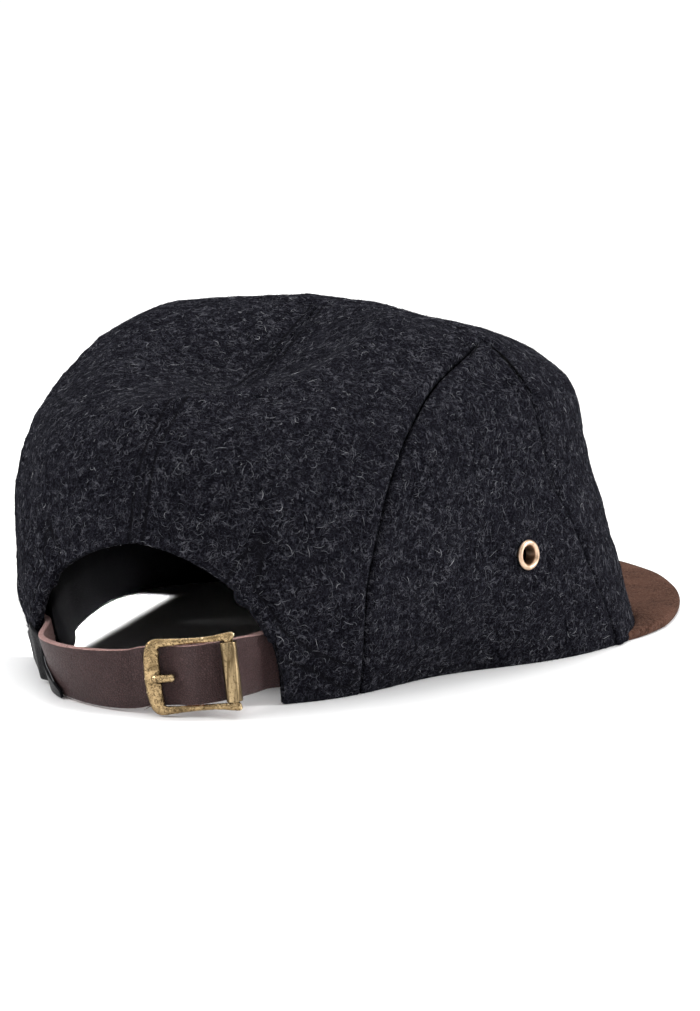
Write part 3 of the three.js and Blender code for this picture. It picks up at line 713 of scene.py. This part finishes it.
gloss = add_node(tree, "ShaderNodeMapRange", {"To Min": 0.42, "To Max": 0.6})
tree.links.new(pores, gloss.inputs["Value"])
tree.links.new(gloss.outputs["Result"], surface.inputs["Roughness"])
bump_chain(tree, surface, (cloud, 0.0005, 0.25), (cell.outputs["Result"], 0.00022, 0.9),
           (pores, 0.00016, 0.7))

raw_edge, tree, surface = new_material("raw_leather", Roughness=0.9, Specular_IOR_Level=0.2,
                                       Sheen_Weight=0.2)
lint = put_group(tree, mottle, Scale=2200, Low=0.42, High=0.62)
stain = put_group(tree, mottle, Scale=400, Low=0.35, High=0.7)
colour = blend_colour(tree, stain, (0.15, 0.062, 0.055), (0.26, 0.125, 0.11))
colour = blend_colour(tree, lint, colour, (0.5, 0.3, 0.27))
tree.links.new(colour, surface.inputs["Base Color"])
bump_chain(tree, surface, (lint, 0.0002, 0.8))

leather_lint, tree, surface = new_material("leather_lint", Roughness=0.8, Specular_IOR_Level=0.1)
tone = add_node(tree, "ShaderNodeAttribute", attribute_name="tone")
tree.links.new(blend_colour(tree, tone.outputs["Fac"], (0.2, 0.07, 0.06), (0.8, 0.6, 0.56)),
               surface.inputs["Base Color"])

# Pricks of the awl, left from marking the holes
awl_pricks = [Vector((-0.0059, 0.1342, 0.0088)), Vector((-0.0358, 0.1085, 0.0138))]
prick_depth, prick_radius = 0.0005, 0.0008

# The straps curve round a point this far back; only their broad faces are wider than this
curve_middle_y, broad_width = 0.09, 0.012
for name in ("strap_long", "strap_short"):
    form = copied_form(name)
    for face in form.faces:
        # The grain side is the broad one that looks away from the cap; all others are raw
        centre = face.calc_center_median()
        outward = face.normal.dot(Vector((centre.x, centre.y - curve_middle_y, 0)))
        broad = max(edge.calc_length() for edge in face.edges) > broad_width
        face.material_index = 0 if broad and outward > 0 else 1
    crease_corners(form)
    strap = new_piece(name + "_leather", form, grain_leather, raw_edge)
    rounded(strap, 2, 0.0003, 2)
    for prick in awl_pricks:
        moved_along_normals(strap, lambda place, normal: -prick_depth * bell((place - prick).length,
                                                                             prick_radius))
    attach(strap, "root")
    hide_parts(name)
    lint_hairs = grow_fibres(name + "_lint", strap, 1800, 90 + len(name), length=(0.0002, 0.0007),
                             lift=(0.0001, 0.0005), tones=(0.3, 1.0), half_width=(0.00003, 0.00006),
                             steps=2, material_index=1)
    lint_hairs.data.materials.append(leather_lint)
    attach(lint_hairs, "root")


# Strap tab. A short black satin ribbon, folded double and wrapped over the sewn end of the strap.
black_satin, tree, surface = new_material("black_satin", Roughness=0.36, Specular_IOR_Level=0.06)
weave = put_group(tree, mottle, Scale=2500, Low=0.4, High=0.6)
colour = blend_colour(tree, weave, (0.002, 0.002, 0.003), (0.006, 0.006, 0.0075))
tree.links.new(colour, surface.inputs["Base Color"])
bump_chain(tree, surface, (weave, 0.0001, 0.5))
form = copied_form("strap_tab")
crease_corners(form, 0.8)
along_strap = Vector((-0.64, 0.77, 0))
lengthened = 0.0015
reaches = [vertex.co.dot(along_strap) for vertex in form.verts]
for vertex, reach in zip(form.verts, reaches):
    # The end on the strap lies a little further along it than the solid's
    vertex.co += along_strap * lengthened * (reach - min(reaches)) / (max(reaches) - min(reaches))
tab = new_piece("strap_tab_ribbon", form, black_satin)
rounded(tab, 2)
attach(tab, "root")
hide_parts("strap_tab")

# A painted highlight along the ribbon's folded edge: a fine pale tube laid on the outer face; places in
# millimetres
fold_radius, fold_raised = 0.0001, 0.00008
tab_surface = BVHTree.FromPolygons([tuple(vertex.co) for vertex in tab.data.vertices],
                                   [tuple(face.vertices) for face in tab.data.polygons])
loop = []
for point in ((31, 120, 11.5), (28.6, 122.6, 10.6), (26.6, 124.4, 8.7), (25.2, 125.4, 6.6),
              (24.6, 125.6, 5), (26.2, 124, 4.8), (28, 122.6, 6), (29.8, 120.8, 8.2),
              (31, 119.6, 10.2), (31, 120, 11.5)):
    hit, normal, _, _ = tab_surface.find_nearest(Vector(point) / 1000)
    loop.append(hit + normal * fold_raised)
fold_highlight, _, _ = new_material("ribbon_fold_painted_highlight", Base_Color=(0.16, 0.16, 0.17, 1), Roughness=0.5)
fold = swept("strap_tab_fold_highlight", curve_through(loop, 4), lambda part: fold_radius, 6, fold_highlight)
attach(fold, "root")


# Buckle and roller. A cast brass frame with a fixed prong, antiqued dark and rubbed bright again on its
# edges, where the brightness is also a painted highlight, with painted shade where it turns from the
# camera; and a plain brass tube that turns on its cross pin, its colour painted with streaks of reflection
# and with shade where it turns away.
antique_brass, tree, surface = new_material("antique_brass", Metallic=1.0, Roughness=0.28)
tarnish = put_group(tree, mottle, Scale=330, Low=0.42, High=0.6)
spots = put_group(tree, mottle, Scale=1500, Low=0.52, High=0.66, Shift=0.6)
pointiness_source = add_node(tree, "ShaderNodeNewGeometry")
rubbed_and_highlit = add_node(tree, "ShaderNodeMapRange", {"From Min": 0.515, "From Max": 0.56})
sunk = add_node(tree, "ShaderNodeMapRange", {"From Min": 0.46, "From Max": 0.495, "To Min": 1,
                                             "To Max": 0})
# Where the frame turns away from the camera its colour is darkened: painted shade.
turned_away = add_node(tree, "ShaderNodeLayerWeight", {"Blend": 0.5})
shade = add_node(tree, "ShaderNodeMapRange", {"From Min": 0.3, "From Max": 0.85})
tree.links.new(turned_away.outputs["Facing"], shade.inputs["Value"])
tree.links.new(pointiness_source.outputs["Pointiness"], rubbed_and_highlit.inputs["Value"])
tree.links.new(pointiness_source.outputs["Pointiness"], sunk.inputs["Value"])
colour = blend_colour(tree, tarnish, (0.47, 0.335, 0.175), (0.26, 0.18, 0.09))
colour = blend_colour(tree, spots, colour, (0.08, 0.054, 0.026))
colour = blend_colour(tree, shade.outputs["Result"], colour, (0.09, 0.06, 0.028))
# Sharp edges are brightened: rubbed bright by wear, and the same brightness is a painted highlight.
colour = blend_colour(tree, rubbed_and_highlit.outputs["Result"], colour, (0.92, 0.76, 0.48))
colour = blend_colour(tree, sunk.outputs["Result"], colour, (0.035, 0.024, 0.012))
tree.links.new(colour, surface.inputs["Base Color"])
dull = add_node(tree, "ShaderNodeMapRange", {"To Min": 0.24, "To Max": 0.6})
tree.links.new(spots, dull.inputs["Value"])
tree.links.new(dull.outputs["Result"], surface.inputs["Roughness"])
bump_chain(tree, surface, (tarnish, -0.0002, 0.3), (spots, -0.0001, 0.7))

bar_middle = Vector((-13.6, 136.0, 11.1)) / 1000
roller_middle = Vector((-35.0, 130.0, 13.75)) / 1000
buckle_middle = (bar_middle + roller_middle) / 2
across = (roller_middle - bar_middle).normalized()
outward = -Vector((0, 0, 1)).cross(across).normalized()
upward = outward.cross(across)

# Distances from the buckle's middle, in millimetres
roller_x = (roller_middle - bar_middle).length * 500
bar_x = -roller_x
arm_y = 9.6


def cast_limb(name, stations, flatness):
    """A rounded limb in the buckle's own plane; a station is x, y, height and half-width in millimetres,
    and flatness is the limb's depth as a part of its width."""
    line = curve_through([Vector(station[:3]) for station in stations], 5)
    halves = curve_through([Vector((station[3], 0, 0)) for station in stations], 5)
    limb = swept(name, line, lambda part: halves[round(part * (len(line) - 1))].x, 16, antique_brass)
    for vertex in limb.data.vertices:
        x, y, z = vertex.co
        vertex.co = buckle_middle + (across * x + upward * y + outward * z * flatness) / 1000
    return limb


upper_arm = [(roller_x + 1.9, 9.9, 0, 0.7), (roller_x + 1.2, 10.0, 0, 1.3), (roller_x - 1, 9.9, 0, 1.2),
             (roller_x - 5, arm_y, 0, 0.95), (0, 9.5, 0, 0.95), (bar_x + 5, arm_y, 0, 1.15),
             (bar_x + 2, 9.5, 0, 1.5), (bar_x + 0.5, 8.4, 0, 2.05), (bar_x - 0.1, 5.5, 0, 2.3),
             (bar_x - 0.25, 2.5, 0, 2.45)]
bar_centre = [(bar_x - 0.3, 0, 0, 2.5)]
lower_arm = [(x, -y, z, half) for x, y, z, half in reversed(upper_arm)]
cross_pin = [(roller_x, y, 0, 1.1) for y in (-arm_y, 0, arm_y)]
prong = [(bar_x + 0.4, -0.3, 0.6, 1.3), (bar_x + 2, -0.3, 1.1, 1.3), (bar_x + 4, -0.3, 1.2, 1.15),
         (bar_x + 5.7, -0.3, 1.2, 1.2), (bar_x + 6.4, -0.3, 1.2, 0.6)]
limbs = [cast_limb("frame_loop", upper_arm + bar_centre + lower_arm, 0.6),
         cast_limb("cross_pin", cross_pin, 1.0), cast_limb("prong", prong, 1.0)]
form = bmesh.new()
for limb in limbs:
    form.from_mesh(limb.data)
    bpy.data.objects.remove(limb)
buckle = new_piece("buckle_frame_cast", form, antique_brass)
remesh = buckle.modifiers.new("cast", "REMESH")
remesh.mode = "VOXEL"
remesh.voxel_size = 0.0002
melt = buckle.modifiers.new("melt", "SMOOTH")
melt.factor = 0.5
melt.iterations = 8
settled(buckle)
buckle.data.materials.clear()
buckle.data.materials.append(antique_brass)
moved_along_normals(buckle, lambda place, normal: noise.noise(place * 420) * 0.00005)
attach(buckle, "root")
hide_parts("buckle_frame")

tube_brass, tree, surface = new_material("tube_brass_painted_streaks", Metallic=1.0, Roughness=0.3)
place = add_node(tree, "ShaderNodeTexCoord")
stretched = add_node(tree, "ShaderNodeMapping", {"Scale": (1.0, 1.0, 0.05)})
# The tube's colour is painted with long dark and bright streaks along its axis: painted reflections, as of
# facets round the rolled brass; the dark flecks are its tarnish.
streaks = add_node(tree, "ShaderNodeTexNoise", {"Scale": 850, "Detail": 3, "Roughness": 0.6})
bands = add_node(tree, "ShaderNodeMapRange", {"From Min": 0.38, "From Max": 0.64})
tree.links.new(place.outputs["Object"], stretched.inputs["Vector"])
tree.links.new(stretched.outputs["Vector"], streaks.inputs["Vector"])
tree.links.new(streaks.outputs["Fac"], bands.inputs["Value"])
flecks = put_group(tree, mottle, Scale=1500, Low=0.54, High=0.68, Shift=0.1)
# Where the tube turns away from the camera its colour is darkened: painted shade.
turned_away = add_node(tree, "ShaderNodeLayerWeight", {"Blend": 0.5})
shade = add_node(tree, "ShaderNodeMapRange", {"From Min": 0.25, "From Max": 0.8})
tree.links.new(turned_away.outputs["Facing"], shade.inputs["Value"])
colour = blend_colour(tree, bands.outputs["Result"], (0.075, 0.05, 0.024), (0.5, 0.37, 0.205))
colour = blend_colour(tree, flecks, colour, (0.1, 0.068, 0.03))
colour = blend_colour(tree, shade.outputs["Result"], colour, (0.07, 0.047, 0.022))
tree.links.new(colour, surface.inputs["Base Color"])
bump_chain(tree, surface, (bands.outputs["Result"], 0.00012, 0.5), (flecks, -0.0001, 0.5))

form = copied_form("buckle_roller")
crease_corners(form)
roller = new_piece("buckle_roller_tube", form, tube_brass)
rounded(roller, 2, 0.00025, 3)
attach(roller, "root")
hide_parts("buckle_roller")


# Eyelets. Two rolled brass rings, each clenched through a side panel round a real hole. Their brass is
# paler and cleaner than the buckle's.
pale_brass, tree, surface = new_material("pale_brass", Metallic=1.0, Roughness=0.36)
film = put_group(tree, mottle, Scale=700, Low=0.45, High=0.7)
colour = blend_colour(tree, film, (0.7, 0.5, 0.36), (0.44, 0.3, 0.2))
tree.links.new(colour, surface.inputs["Base Color"])
bump_chain(tree, surface, (film, 0.00005, 0.4))
for name in ("eyelet_right", "eyelet_left"):
    ring = new_piece(name + "_ring", copied_form(name), pale_brass)
    rounded(ring, 2)
    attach(ring, "root")
    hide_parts(name)
